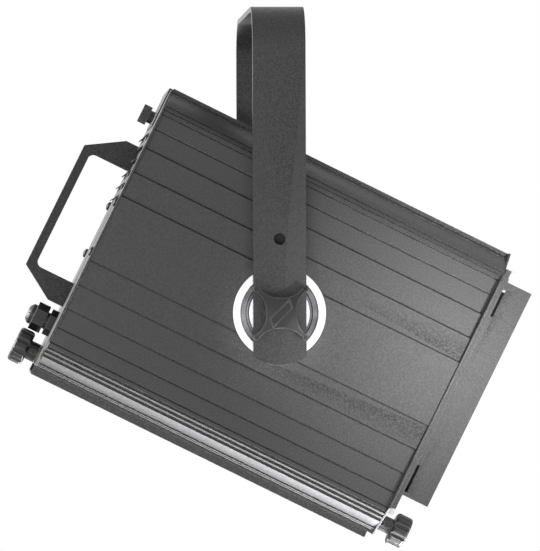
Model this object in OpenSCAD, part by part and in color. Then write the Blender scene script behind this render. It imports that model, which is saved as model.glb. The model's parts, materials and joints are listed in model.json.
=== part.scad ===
// Plano-convex theatre spotlight in a U-shaped yoke, in millimetres.
// The origin is the clamp hole in the top of the yoke. +Z is up and the beam leaves towards +X,
// tilted down. The pieces of the housing are drawn level, with the tilt pivot at their origin:
// u runs forward along the beam, y across and v up. in_housing() hangs them in the yoke.

/* [Yoke] */
// Nose-down tilt of the housing in the yoke, degrees
tilt = 26.4; // [-50:0.1:60]
// Width of the yoke's flat bar
bar_w = 50; // [44:1:60]
// Thickness of the yoke's flat bar
bar_t = 5; // [4:0.5:8]
// Height of the yoke's top face over the tilt pivots
yoke_h = 290; // [285:1:340]
// Outer radius of the yoke's bends
bend_r = 38; // [20:1:45]
// Radius of the arm ends about the pivot
arm_end_r = 49; // [46:1:60]
// Diameter of the clamp hole in the yoke's top
clamp_hole_d = 13; // [10:0.5:14]
// Diameter of the side hole in each arm
arm_hole_d = 11; // [8:0.5:14]
// Height of the side holes over the pivots
arm_hole_h = 69.6; // [64:0.1:120]

/* [Pivots] */
// Diameter of the knob's stud and of the pivot bolt
stud_d = 12; // [10:1:14]
// Diameter of the pivot discs
disc_d = 88; // [84:1:96]
// Thickness of the pivot discs
disc_t = 11; // [9:0.5:16]
// Width of a disc's outer rim
disc_rim = 7.5; // [5:0.5:9]
// Diameter of a disc's centre boss
disc_boss_d = 58; // [54:1:62]
// Depth of the recess between rim and boss
disc_recess = 4; // [2:0.5:6]
// Thickness of the friction washers
friction_t = 1; // [0.5:0.1:2]
// Diameter of the friction washers
friction_d = 48; // [36:1:48]
// Thickness of the plain washers
washer_t = 2; // [1.5:0.1:3]
// Reach of the tilt knob's lobes from its axis
knob_reach = 35; // [32:0.5:40]
// Half width of the tilt knob between its lobes
knob_waist = 14; // [12:0.5:17]
// Height of the tilt knob
knob_h = 21; // [16:0.5:28]

/* [Housing] */
// Distance from the pivot to the front ends of the extrusions
front_len = 174.5; // [150:0.5:185]
// Distance from the pivot to the rear ends of the extrusions
rear_len = 181.5; // [170:0.5:186]
// Width over the side panels' centre bands
body_w = 262; // [250:1:290]
// Height over the top cover and the lower shoulders
body_h = 296; // [290:1:304]
// Wall thickness of the side extrusions
wall_t = 2.5; // [2:0.1:3]
// Height of the side panels' centre band
centre_band = 66; // [64:0.5:70]
// Height of each stepped band beside it
band_h = 25.2; // [22:0.1:26]
// Depth of each step
step_d = 2.2; // [1.5:0.1:2.6]
// Height of each step's slope
step_rise = 1.2; // [0.6:0.1:2]
// Height of the seams between side panels and shoulders, from the pivot
seam_v = 104.1; // [102:0.1:106]
// Height where the shoulders' fins begin
fin_v = 119.5; // [117:0.1:121]
// Pitch of the fins up the shoulder
fin_pitch = 4.1; // [3.6:0.1:4.4]
// Inward step from fin to fin
fin_run = 3.1; // [2.6:0.1:3.6]
// Height of the groove under each fin
fin_gap = 1.4; // [1:0.1:2]
// Width of the flat top between the shoulders
top_w = 184; // [176:1:190]
// Thickness of the top cover's sheet
cover_t = 1.5; // [1:0.1:2]
// Thickness of the rear panel and the front frame
plate_t = 2; // [1.5:0.1:3]
// Depth of the bottom tray under the lower shoulders
tray_drop = 7; // [5:0.5:9]
// Diameter of the screws into the side panels
port_screw_d = 4; // [3.5:0.5:5]
// Height of the screw ports over and under the pivot
port_v = 26; // [25:0.5:27.5]

/* [Rear] */
// Height of the lowest louvre slot
louvre_v = 31; // [29:0.5:34]
// Spacing of the louvres
louvre_pitch = 13; // [11:0.5:13.5]
// Height of each louvre slot
louvre_gap = 4; // [3:0.5:5]
// Length of each louvre slot
louvre_w = 78; // [50:1:84]
// Height of the thumbscrew over the pivot
thumb_v = 118; // [116:0.5:124]
// Diameter of the thumbscrew's head
thumb_d = 18.6; // [14:0.2:20]

/* [Handle] */
// Height of the rear handle
handle_h = 171; // [160:1:176]
// Reach of the handle behind the rear panel
handle_reach = 50; // [46:1:60]
// Width of the handle
handle_w = 28; // [24:1:34]
// Thickness of the grip, seen from the side
grip_t = 8.7; // [7:0.1:12]
// Height of the finger window
window_h = 121; // [110:1:124]
// Thickness of the handle's sheet
handle_t = 2; // [1.5:0.1:2.5]

/* [Cable gland] */
// Height of the gland under the pivot
gland_v = 103.5; // [103:0.5:107]
// Diameter of the cable it seals
cable_d = 9; // [7:0.5:10]
// Diameter of the gland's thread
gland_thread_d = 16; // [14:1:18]

/* [Focus drive] */
// Height of the spindle under the pivot
spindle_v = 136; // [136:0.5:138]
// Diameter of the focus spindle
spindle_d = 8; // [6:0.5:9]
// Diameter of the rear focus knob
rear_knob_d = 35; // [30:0.5:36]
// Diameter of the front focus knob
front_knob_d = 33; // [28:0.5:33]
// Diameter of the carriage rails
rail_d = 8; // [6:0.5:9]
// Spacing of the carriage rails
rail_gap = 90; // [70:1:110]
// Height of the rails under the pivot
rail_v = 125; // [124:0.5:126]
// Length of the carriage plate
carriage_len = 100; // [90:1:104]

/* [Lamp and lens] */
// Height of the optical axis over the pivot
axis_v = 10; // [8:0.5:11]
// Lamp filament behind the pivot, with the carriage at mid travel
lamp_back = 20; // [15:1:25]
// Height of the filament over the top of the lamp holder
light_centre = 55; // [50:0.5:60]
// Diameter of the lamp's bulb
bulb_d = 22; // [18:1:26]
// Inner radius of the reflector
mirror_r = 46; // [40:0.5:48]
// Diameter of the lens
lens_d = 175; // [160:1:176]
// Radius of the lens's convex face
lens_r = 150; // [145:1:200]
// Thickness of the lens at its edge
lens_edge = 6; // [4:0.5:8]
// Distance from the front ends of the extrusions back to the lens's flat face
lens_back = 24.5; // [23:0.5:27]

/* [Front] */
// Width of the lens door
door_w = 236; // [232:1:238]
// Height of the lens door's top edge over the pivot
door_top = 133; // [131:0.5:133]
// Height of the lens door's bottom edge under the pivot
door_bottom = 118; // [117:0.5:119]
// Depth of the lens door
door_depth = 5.4; // [4:0.1:7]
// Width and height of the accessory holder
holder_w = 225; // [224:1:228]
// Depth of the accessory holder
holder_depth = 26.9; // [22:0.1:32]
// Thickness of the holder's sheet
holder_t = 1.5; // [1:0.1:2]
// Width of the slot for a colour frame
frame_slot = 6; // [4:0.5:8]
// Width of the lips that guide the frames
lip_w = 10; // [6:0.5:12]

/* [Hidden] */
$fn = 64;

// Clearances: gap on the radius of a turning or sliding fit, gap between faces that move
// past each other, and a small amount to cut right through a wall
running = 0.05;
face_gap = 0.3;
through = 1;

// Left and right as seen from behind, looking along the beam
LEFT = 1;
RIGHT = -1;

// Faces across the width
half_w = body_w / 2;
arm_in = half_w + disc_t + friction_t + running;
arm_out = arm_in + bar_t;
washer_in = arm_out + running;
washer_out = washer_in + washer_t;

// Side panel: steps, seam and screw ports
step_count = 3;
band_y = half_w - step_count * step_d;
seam_chamfer = 0.9;
port_r = 4.5;
port_y = half_w - wall_t - port_r + 0.5;

// Shoulder: lip behind the side panel, fins, facet, ledge under the cover
lip_t = 2.5;
lip_h = 6;
fin_count = 4;
fin_groove = 1.5;
fin_root = 4;
fin_end = [band_y - fin_count * fin_run, fin_v + fin_count * fin_pitch];
top_v = body_h / 2;
top_y = top_w / 2;
rim_v = top_v - 4;
top_rim = 2;
ledge_w = 12;
ledge_v = top_v - cover_t;

// Lengths of the housing
rear_u = -rear_len;
rear_face = rear_u - plate_t;
frame_face = front_len + plate_t;

// Top cover
cover_y = top_y - top_rim - 0.2;
flange_w = 140;
flange_v = 108;
flange_face = rear_face - cover_t;
vent_l = 60;
vent_w = 5;
vent_pitch = 22;
vent_y = 45;

// Thumbscrew
thumb_shank_d = 6;
thumb_collar_d = 12.6;
thumb_collar_h = 4.7;
thumb_head_h = 8.3;

// Handle: its lower foot stands over the gland's nut
gland_nut_flats = 24.5;
handle_over_gland = 6.75;
handle_v = -gland_v + gland_nut_flats / 2 + handle_over_gland + handle_h / 2;
grip_out = rear_face - handle_reach;
foot_d = 15.5;
slope_v = 21.5;
foot_t = 2.5;
window_r = 6;
handle_bolt_d = 6;
handle_bolt_v = (handle_h / 2 + window_h / 2) / 2;
handle_nut_flats = 10;
handle_nut_h = 5;

// Terminal block, as far in from the side as its ways need
terminal_size = [20, 34, 20];
terminal_ways = 3;
terminal_pitch = 11;
terminal_y = half_w - 31 - terminal_size[1];
terminal_v = -gland_v - 17;

// Cable gland, as depths out from the rear panel
gland_base_h = 6.8;
gland_neck_h = 2.5;
gland_nut_h = 12;
gland_dome_h = 8;
gland_bore_d = cable_d + 3;
gland_lock_h = 5;

// Focus drive
bush_flange = 1.5;
bush_len = 6;
bush_d = spindle_d + 6;
rear_hub_h = 9.5;
rear_knob_h = 15;
front_hub_h = 19.5;
front_knob_h = 16.7;
rear_knob_u = rear_face - bush_flange - face_gap - rear_hub_h;
front_knob_u = frame_face + bush_flange + face_gap + front_hub_h;
socket_len = 8;
slide_bush_len = 14;
slide_bush_d = rail_d + 6;

// Carriage, lamp and reflector
lamp_u = -lamp_back;
carriage_w = rail_gap + 26;
carriage_t = 2.5;
carriage_under = -rail_v + slide_bush_d / 2;
carriage_top = carriage_under + carriage_t;
holder_top = axis_v - light_centre;
lamp_holder_size = [30, 44, 25];
bracket_t = 2;
lamp_base_h = 16;
mirror_t = 1.5;
mirror_angle = 52;
mirror_back = lamp_u - mirror_r - mirror_t;
rivet_d = 6;

// Lens and its cell
lens_u = front_len - lens_back;
lens_rad = lens_d / 2;
lens_centre_u = lens_u + lens_edge - sqrt(lens_r * lens_r - lens_rad * lens_rad);
seat_r = lens_rad - 3.5;
seat_u = lens_centre_u + sqrt(lens_r * lens_r - seat_r * seat_r) + 0.2;
cell_wall = 2.5;
cell_clear = 0.5;
retainer_t = 2.2;
cell_r = lens_rad + cell_clear + cell_wall;

// Lens door, standing a face gap clear of the front frame
door_back = frame_face + face_gap;
door_face = door_back + door_depth;
door_sheet = 1.5;
door_plate = 2;
door_hole_r = lens_rad - 1.5;
frame_hole = [200, axis_v + 98, axis_v - 100];

// Door hinge
hinge_y = 75;
hinge_r = 3.2;
hinge_pin_d = 3.2;
hinge_leaf_t = 1.5;
hinge_leaf_h = 12;
hinge_w = 30;
hinge_mid_w = 13;
hinge_u = door_face;
hinge_v = -door_bottom - hinge_r - face_gap;

// Accessory holder
holder_u = door_face;
holder_front = holder_u + holder_depth;
holder_bottom = axis_v - holder_w / 2;
holder_rim = axis_v + holder_w / 2;
holder_in = holder_w / 2 - holder_t;
flange_in = 12;
divider_u = holder_front - frame_slot - 2 * holder_t;
holder_screw_d = 4;
slit_w = 3;
slit_h = 28;
slit_in = 4;
knob_clear = 13.5;
knob_bay = front_knob_d + 2 * knob_clear;

// Door catches, over the door's top edge and the holder's rim
catch_y = 85;
catch_w = 16;
catch_reach = 11.5;
catch_t = 1.5;
catch_h = 9;
catch_v = max(door_top, holder_rim) + 0.5;

// Frame catch
gate_w = 80;
gate_t = 1.5;
gate_v = holder_rim + face_gap;
gate_u = holder_u + 4.8;
gate_knuckle_r = 2.5;
gate_pin_d = 2;
gate_pin_v = gate_v + gate_t + gate_knuckle_r - 0.5;
ear_t = 2;

charcoal = [0.30, 0.30, 0.31];
black = [0.08, 0.08, 0.08];
zinc = [0.74, 0.74, 0.75];
bright = [0.88, 0.88, 0.89];

// Placement helpers
module in_housing() translate([0, 0, -yoke_h]) rotate([0, tilt, 0]) children();
module along_u() rotate([90, 0, 90]) children();
module about_u() rotate([0, 90, 0]) children();
module across() rotate([90, 0, 0]) children();
module outward(side) rotate([-90 * side, 0, 0]) children();
module on_side(side) if (side == LEFT) children(); else mirror([0, 1, 0]) children();

function backwards(points) = [for (i = [len(points) - 1:-1:0]) points[i]];
function upside_down(points) = [for (p = backwards(points)) [p[0], -p[1]]];
function left_right(points) = concat(points, [for (p = backwards(points)) [-p[0], p[1]]]);

// A round bar along u, from its rear end
module bar_u(u, d, length, y = 0, v = 0) translate([u, y, v]) about_u() cylinder(d = d, h = length);

// A block given by its lowest corner and size
module block(corner, size) translate(corner) cube(size);

// Pan head of a screw, its flat under-face on the plane z = 0
module pan_head(d, h) intersection() {
    cylinder(d = d, h = h);
    translate([0, 0, h - d * 0.8]) sphere(r = d * 0.8, $fn = 48);
}

module hexagon(flats, h) cylinder(d = flats / cos(30), h = h, $fn = 6);

// Yoke: the bar's path seen along the beam, outside or inside the bar
module portal(half_width, top, r) {
    translate([-half_width, -arm_end_r - through]) square([2 * half_width, top - r + arm_end_r + through]);
    translate([-half_width + r, 0]) square([2 * (half_width - r), top]);
    for (side = [LEFT, RIGHT]) translate([side * (half_width - r), top - r]) circle(r, $fn = 96);
}

module yoke() color(charcoal) translate([0, 0, -yoke_h]) difference() {
    intersection() {
        translate([-bar_w / 2, 0, 0]) along_u() linear_extrude(bar_w) difference() {
            portal(arm_out, yoke_h, bend_r);
            translate([0, -through]) portal(arm_in, yoke_h - bar_t + through, bend_r - bar_t);
        }
        union() {
            across() cylinder(r = arm_end_r, h = 2 * arm_out + 2, center = true, $fn = 128);
            block([-bar_w, -arm_out - through, 0], [2 * bar_w, 2 * (arm_out + through), yoke_h + through]);
        }
    }
    across() cylinder(d = stud_d + 2 * running, h = 3 * arm_out, center = true);
    translate([0, 0, arm_hole_h]) across() cylinder(d = arm_hole_d, h = 3 * arm_out, center = true);
    translate([0, 0, yoke_h - bar_t - through]) cylinder(d = clamp_hole_d, h = bar_t + 2 * through);
}

// Side panel: stepped wall with a screw port at the ends
function step_v(i) = centre_band / 2 + i * band_h;
function steps_up(inset) = [
    for (i = [0:step_count - 1]) each [
        [half_w - i * step_d - inset, step_v(i)],
        [half_w - (i + 1) * step_d - inset, step_v(i) + step_rise]
    ]
];

module side_panel_section() {
    outside = concat(steps_up(0), [[band_y, seam_v - seam_chamfer], [band_y - seam_chamfer, seam_v]]);
    inside = concat(steps_up(wall_t), [[band_y - wall_t, seam_v]]);
    difference() {
        union() {
            polygon(concat(upside_down(outside), outside, backwards(inside),
                [for (p = inside) [p[0], -p[1]]]));
            for (v = [-port_v, port_v]) translate([port_y, v]) circle(port_r);
        }
        for (v = [-port_v, port_v]) translate([port_y, v]) circle(d = port_screw_d + 2 * running);
    }
}

module side_panel(side) color(charcoal) in_housing() on_side(side) difference() {
    translate([rear_u, 0, 0]) along_u() linear_extrude(front_len - rear_u) side_panel_section();
    translate([0, half_w - 2 * wall_t, 0]) outward(LEFT)
        cylinder(d = stud_d + 2 * running, h = 3 * wall_t);
}

// Shoulder: lip behind the side panel, band, fins, sloping facet, rim, ledge for the cover
module shoulder_section() {
    fins = [
        for (i = [0:fin_count - 1]) each [
            [band_y - i * fin_run, fin_v + i * fin_pitch],
            [band_y - (i + 1) * fin_run - fin_groove, fin_v + i * fin_pitch],
            [band_y - (i + 1) * fin_run - fin_groove, fin_v + i * fin_pitch + fin_gap],
            [band_y - (i + 1) * fin_run, fin_v + i * fin_pitch + fin_gap]
        ]
    ];
    polygon(concat(
        [[band_y - seam_chamfer, seam_v], [band_y, seam_v + seam_chamfer]],
        fins,
        [
            fin_end,
            [top_y, rim_v],
            [top_y, top_v],
            [top_y - top_rim, top_v],
            [top_y - top_rim, ledge_v],
            [top_y - ledge_w, ledge_v],
            [top_y - ledge_w, ledge_v - wall_t],
            [top_y - top_rim, ledge_v - wall_t],
            [top_y - top_rim, rim_v - wall_t],
            [fin_end[0] - fin_groove - fin_root, fin_end[1] - wall_t],
            [band_y - wall_t - lip_t, fin_v - fin_gap],
            [band_y - wall_t - lip_t, seam_v - lip_h],
            [band_y - wall_t, seam_v - lip_h],
            [band_y - wall_t, seam_v]
        ]));
}

module shoulder(side, up) color(charcoal) in_housing() on_side(side)
    mirror([0, 0, up ? 0 : 1]) translate([rear_u, 0, 0]) along_u()
        linear_extrude(front_len - rear_u) shoulder_section();

// Top cover: vented sheet with a flange down the rear, held by the thumbscrew
module vent_slots(v, offset) for (side = [LEFT, RIGHT], i = [-5:5])
    translate([i * vent_pitch + offset, side * vent_y, v]) cube([vent_w, vent_l, 3 * cover_t], center = true);

module top_cover() color(charcoal) in_housing() difference() {
    union() {
        block([flange_face, -flange_w / 2, ledge_v], [rear_u - flange_face, flange_w, cover_t]);
        block([rear_u, -cover_y, ledge_v], [front_len - rear_u, 2 * cover_y, cover_t]);
        block([flange_face, -flange_w / 2, flange_v], [cover_t, flange_w, top_v - flange_v]);
    }
    vent_slots(top_v - cover_t / 2, 0);
    bar_u(flange_face - through, thumb_shank_d + 2 * running, cover_t + 2 * through, 0, thumb_v);
}

// Light baffle: sheet under the cover, its slots between the cover's
module light_baffle() color(black) in_housing() difference() {
    block([rear_u + 20, -cover_y, ledge_v - wall_t - cover_t],
        [front_len - rear_u - 40, 2 * cover_y, cover_t]);
    vent_slots(ledge_v - wall_t - cover_t / 2, vent_pitch / 2);
}

// Bottom tray: channel under the ledges of the lower shoulders
module bottom_tray() color(charcoal) in_housing() difference() {
    tray_u = rear_face - 0.5;
    tray_len = front_len - 4.5 - tray_u;
    bottom = -top_v - tray_drop;
    block([tray_u, -cover_y, bottom], [tray_len, 2 * cover_y, -ledge_v - bottom]);
    block([tray_u - through, -cover_y + cover_t, bottom + cover_t],
        [tray_len + 2 * through, 2 * (cover_y - cover_t), 2 * tray_drop]);
    vent_slots(bottom + cover_t / 2, 0);
}

// Rear panel
module end_plate(edge_v, proud) polygon(left_right([
    [top_y + proud, -edge_v], [half_w + proud, -fin_v], [half_w + proud, fin_v], [top_y + proud, edge_v]
]));

module port_points() for (y = [-port_y, port_y], v = [-port_v, port_v]) translate([0, y, v]) children();

module louvres() for (side = [LEFT, RIGHT], i = [0:5])
    translate([rear_face, side * (handle_w / 2 + 8 + louvre_w / 2), louvre_v + i * louvre_pitch]) children();

module louvre_hood() across() linear_extrude(louvre_w, center = true)
    polygon([[0, louvre_gap], [-3.2, -0.6], [-2, -0.6], [0, louvre_gap - 1.6]]);

module rear_panel() color(charcoal) in_housing() {
    difference() {
        translate([rear_face, 0, 0]) along_u() linear_extrude(plate_t) end_plate(ledge_v - 0.1, 1);
        louvres() cube([3 * plate_t, louvre_w, louvre_gap], center = true);
        port_points() bar_u(rear_face - through, port_screw_d + 2 * running, plate_t + 2 * through);
        handle_points() bar_u(rear_face - through, handle_bolt_d + 2 * running, plate_t + 2 * through);
        bar_u(rear_face - through, gland_thread_d, plate_t + 2 * through, 0, -gland_v);
        bar_u(rear_face - through, bush_d, plate_t + 2 * through, 0, -spindle_v);
        bar_u(rear_face - through, thumb_shank_d + 2 * running, plate_t + 2 * through, 0, thumb_v);
    }
    louvres() louvre_hood();
}

// Screws into the side panels' ports: pan heads at the rear, sunk heads behind the lens door
module rear_panel_screws() color(black) in_housing() port_points() {
    translate([rear_face, 0, 0]) rotate([0, -90, 0]) pan_head(2.25 * port_screw_d, 0.8 * port_screw_d);
    bar_u(rear_face, port_screw_d, 3 * port_screw_d);
}

module front_frame_screws() color(black) in_housing() port_points() {
    bar_u(front_len - 3 * port_screw_d, port_screw_d, 3 * port_screw_d);
    translate([front_len, 0, 0]) about_u() cylinder(d1 = port_screw_d, d2 = 2 * port_screw_d, h = plate_t);
}

// Handle: folded channel, open towards its finger window
module handle_outline(inset) polygon([
    [rear_face, handle_h / 2 - inset],
    [rear_face - foot_d, handle_h / 2 - inset],
    [grip_out + inset, handle_h / 2 - slope_v - inset * 0.5],
    [grip_out + inset, -handle_h / 2 + slope_v + inset * 0.5],
    [rear_face - foot_d, -handle_h / 2 + inset],
    [rear_face, -handle_h / 2 + inset]
]);

module handle_window() {
    depth = handle_reach - grip_t;
    translate([grip_out + grip_t + window_r, -window_h / 2]) square([depth + through, window_h]);
    translate([grip_out + grip_t, -window_h / 2 + window_r]) square([depth, window_h - 2 * window_r]);
    for (v = [-1, 1]) translate([grip_out + grip_t + window_r, v * (window_h / 2 - window_r)]) circle(window_r);
}

module handle_points() for (v = [-handle_bolt_v, handle_bolt_v]) translate([0, 0, handle_v + v]) children();

module rear_handle() color(charcoal) in_housing() difference() {
    translate([0, 0, handle_v]) across() linear_extrude(handle_w, center = true) difference() {
        handle_outline(0);
        handle_window();
    }
    translate([0, 0, handle_v]) across() linear_extrude(handle_w - 2 * handle_t, center = true) difference() {
        handle_outline(handle_t);
        translate([rear_face - foot_t, -handle_h]) square([2 * foot_t, 2 * handle_h]);
    }
    handle_points()
        bar_u(rear_face - foot_t - through, handle_bolt_d + 2 * running, foot_t + 2 * through);
}

module handle_bolts() color(zinc) in_housing() handle_points() {
    translate([rear_face - foot_t, 0, 0]) rotate([0, -90, 0]) pan_head(11, 3.5);
    bar_u(rear_face - foot_t, handle_bolt_d, foot_t + plate_t + handle_nut_h + 2);
}

module handle_nuts() color(zinc) in_housing() handle_points() difference() {
    translate([rear_u, 0, 0]) about_u() hexagon(handle_nut_flats, handle_nut_h);
    bar_u(rear_u - through, handle_bolt_d + 2 * running, handle_nut_h + 2 * through);
}

// Cable gland, drawn outwards from the rear panel
module gland_axis() in_housing() translate([rear_face, 0, -gland_v]) rotate([0, -90, 0]) children();

module gland_body() color(black) gland_axis() difference() {
    union() {
        hexagon(23, gland_base_h);
        cylinder(d = gland_thread_d + 1, h = gland_base_h + gland_neck_h);
        cylinder(d = gland_thread_d - 0.5, h = gland_base_h + gland_neck_h + gland_nut_h - 3);
        translate([0, 0, -plate_t - gland_lock_h - 3])
            cylinder(d = gland_thread_d - 0.2, h = plate_t + gland_lock_h + 3);
    }
    translate([0, 0, -plate_t - gland_lock_h - 4]) cylinder(d = gland_bore_d, h = 60);
}

module gland_nut() color(black) gland_axis() {
    base = gland_base_h + gland_neck_h;
    difference() {
        union() {
            translate([0, 0, base]) hexagon(gland_nut_flats, gland_nut_h);
            translate([0, 0, base + gland_nut_h]) intersection() {
                cylinder(d = 20, h = gland_dome_h);
                translate([0, 0, gland_dome_h - 13]) sphere(r = 13);
            }
        }
        translate([0, 0, base - through]) cylinder(d = gland_thread_d - 0.4, h = gland_nut_h + through);
        cylinder(d = cable_d + 1.5, h = 60);
    }
}

module gland_seal() color([0.15, 0.15, 0.15]) gland_axis() difference() {
    translate([0, 0, gland_base_h]) cylinder(d = gland_bore_d - 2 * running, h = 14);
    cylinder(d = cable_d, h = 40);
}

module gland_locknut() color(black) gland_axis() translate([0, 0, -plate_t - gland_lock_h]) difference() {
    hexagon(22, gland_lock_h);
    translate([0, 0, -through]) cylinder(d = gland_thread_d - 0.1, h = gland_lock_h + 2 * through);
}

// Terminal block on the rear panel, beside the gland: a wire hole and a screw well for each way
module terminal_block() color([0.85, 0.84, 0.78]) in_housing() difference() {
    depth = terminal_size[0];
    translate([rear_u, terminal_y, terminal_v - terminal_size[2] / 2]) cube(terminal_size);
    for (i = [0:terminal_ways - 1]) {
        way_y = terminal_y + terminal_size[1] / 2 + (i - (terminal_ways - 1) / 2) * terminal_pitch;
        bar_u(rear_u + depth * 0.6, 5, depth, way_y, terminal_v);
        translate([rear_u + depth / 2, way_y, terminal_v + 4]) cylinder(d = 4.5, h = depth);
    }
}

// Front frame: fixed plate around the light opening
module front_frame() color(charcoal) in_housing() difference() {
    translate([front_len, 0, 0]) along_u() linear_extrude(plate_t) end_plate(top_v + 1, 1);
    block([front_len - through, -frame_hole[0] / 2, frame_hole[2]],
        [plate_t + 2 * through, frame_hole[0], frame_hole[1] - frame_hole[2]]);
    port_points() {
        bar_u(front_len - through, port_screw_d + 2 * running, plate_t + 2 * through);
        translate([front_len, 0, 0]) about_u()
            cylinder(d1 = port_screw_d + 2 * running, d2 = 3 * port_screw_d + 2 * running, h = 2 * plate_t);
    }
    bar_u(front_len - through, bush_d, plate_t + 2 * through, 0, -spindle_v);
}

// Hinge: two fixed knuckles hold the pin, the door's knuckle turns between them
module hinge_points() for (y = [-hinge_y, hinge_y]) translate([hinge_u, y, hinge_v]) children();

module knuckle(width, bore) across() difference() {
    cylinder(r = hinge_r, h = width, center = true);
    cylinder(d = bore, h = width + 2 * through, center = true);
}

module door_hinge_leaves() color(zinc) in_housing() hinge_points() {
    wing = (hinge_w - hinge_mid_w) / 2 - face_gap;
    for (side = [LEFT, RIGHT]) translate([0, side * (hinge_w - wing) / 2, 0]) {
        knuckle(wing, hinge_pin_d + 2 * running);
        block([frame_face - hinge_u, -wing / 2, -hinge_r],
            [hinge_u - frame_face, wing, hinge_leaf_t - 0.1]);
    }
    block([frame_face - hinge_u, -hinge_w / 2, -hinge_r - hinge_leaf_h], [hinge_leaf_t, hinge_w, hinge_leaf_h]);
}

module door_hinge_pins() color(zinc) in_housing() hinge_points()
    across() cylinder(d = hinge_pin_d, h = hinge_w + 2, center = true);

// Spring catches over the door's top edge
module door_catches() color(bright) in_housing() for (y = [-catch_y, catch_y])
    translate([frame_face, y - catch_w / 2, catch_v]) {
        cube([catch_reach, catch_w, catch_t]);
        cube([catch_t, catch_w, catch_h]);
    }

// Pivot disc: rim and centre boss with a recessed annulus between them
module pivot_disc(side) color(bright) in_housing() translate([0, side * half_w, 0]) outward(side)
    difference() {
        groove = 2.5;
        cylinder(d = disc_d, h = disc_t, $fn = 128);
        translate([0, 0, disc_t - disc_recess]) difference() {
            cylinder(d = disc_d - 2 * disc_rim, h = disc_t);
            translate([0, 0, -through]) cylinder(d = disc_boss_d + 2 * groove, h = disc_t + 2 * through);
        }
        translate([0, 0, disc_t - 2 * disc_recess]) difference() {
            cylinder(d = disc_boss_d + 2 * groove + 0.01, h = disc_t);
            translate([0, 0, -through]) cylinder(d = disc_boss_d, h = disc_t + 2 * through);
        }
        translate([0, 0, -through]) cylinder(d = stud_d + 2 * running, h = disc_t + 2 * through);
    }

module friction_washers() color([0.35, 0.28, 0.22]) in_housing() for (side = [LEFT, RIGHT])
    translate([0, side * (half_w + disc_t), 0]) outward(side) difference() {
        cylinder(d = friction_d, h = friction_t);
        translate([0, 0, -through]) cylinder(d = stud_d + 2 * running, h = friction_t + 2 * through);
    }

// Backing plate with a threaded boss, between the screw ports inside each side panel
backing_t = 4;
backing_len = 70;
backing_h = 2 * (port_v - port_r - 1);
backing_boss_h = 10;
backing_y = half_w - wall_t - backing_t;
module pivot_backing_plates() color(zinc) in_housing() for (side = [LEFT, RIGHT]) on_side(side)
    difference() {
        union() {
            block([-backing_len / 2, backing_y, -backing_h / 2], [backing_len, backing_t, backing_h]);
            translate([0, backing_y, 0]) outward(RIGHT) cylinder(d = stud_d + 10, h = backing_boss_h);
        }
        translate([0, backing_y - backing_boss_h - through, 0]) outward(LEFT)
            cylinder(d = stud_d + 2 * running, h = 30);
    }

// Left-hand pivot: bolt, washer and lock nut
stud_end = backing_y - backing_boss_h - 2;
module pivot_bolt() color(zinc) in_housing() {
    translate([0, washer_out, 0]) outward(LEFT) hexagon(19, 7.5);
    translate([0, stud_end - 10, 0]) outward(LEFT) cylinder(d = stud_d, h = washer_out - stud_end + 10);
}

module plain_washer(side) color(zinc) in_housing() translate([0, side * washer_in, 0]) outward(side)
    difference() {
        cylinder(d = 2 * stud_d, h = washer_t);
        translate([0, 0, -through]) cylinder(d = stud_d + 2 * running, h = washer_t + 2 * through);
    }

module pivot_bolt_washer() plain_washer(LEFT);
module knob_washer() plain_washer(RIGHT);

module pivot_lock_nut() color(zinc) in_housing() translate([0, backing_y - backing_boss_h - 10, 0])
    outward(LEFT) difference() {
        hexagon(19, 10);
        translate([0, 0, -through]) cylinder(d = stud_d + 2 * running, h = 10 + 2 * through);
    }

// Tilt knob: four lobes between hollow sides, with a bare lozenge on its face. It stands upright
// in the yoke, not with the housing.
module star(reach, waist) {
    hollow_r = 0.8 * reach;
    tip_r = 2.8;
    difference() {
        circle(reach - tip_r, $fn = 96);
        for (a = [0:90:270]) rotate(a) translate([waist + hollow_r, 0]) circle(hollow_r, $fn = 96);
    }
    for (a = [45:90:315]) rotate(a) translate([reach - tip_r, 0]) circle(tip_r, $fn = 32);
}

module tilt_knob() color(black) in_housing() translate([0, -washer_out, 0]) outward(RIGHT)
rotate(tilt) difference() {
    skirt_h = knob_h * 0.3;
    dome_r = 3 * knob_reach;
    union() {
        cylinder(r = knob_waist + 1, h = skirt_h);
        intersection() {
            translate([0, 0, skirt_h]) linear_extrude(knob_h - skirt_h) star(knob_reach, knob_waist);
            translate([0, 0, knob_h - dome_r]) sphere(r = dome_r, $fn = 128);
        }
        translate([0, 0, knob_h - 3]) rotate(45) linear_extrude(3.2)
            polygon([[-15, -4], [11, -4], [15, 4], [-11, 4]]);
    }
    translate([0, 0, -through]) cylinder(d = stud_d, h = knob_h - 5);
}

module knob_stud() color(zinc) in_housing() translate([0, -stud_end, 0]) outward(RIGHT)
    cylinder(d = stud_d, h = washer_out + knob_h - 6 - through - stud_end);

// Carriage rails and their sockets on the rear panel and the front frame
module carriage_rails() color(zinc) in_housing() for (y = [-rail_gap / 2, rail_gap / 2])
    bar_u(rear_u, rail_d, front_len - rear_u, y, -rail_v);

module rail_sockets() color(zinc) in_housing()
    for (y = [-rail_gap / 2, rail_gap / 2], u = [rear_u, front_len - socket_len]) difference() {
        bar_u(u, rail_d + 5, socket_len, y, -rail_v);
        bar_u(u - through, rail_d + 2 * running, socket_len + 2 * through, y, -rail_v);
    }

// Flanged bushes for the spindle, through the rear panel and the front frame
module spindle_bushes() color([0.70, 0.60, 0.35]) in_housing()
    for (end = [[rear_face, -1], [frame_face, 1]])
        translate([end[0], 0, -spindle_v]) rotate([0, 90 * end[1], 0]) difference() {
            union() {
                cylinder(d = bush_d + 4, h = bush_flange);
                translate([0, 0, -bush_len]) cylinder(d = bush_d - 2 * running, h = bush_len);
            }
            translate([0, 0, -bush_len - through]) cylinder(d = spindle_d + 2 * running, h = 2 * bush_len);
        }

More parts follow.
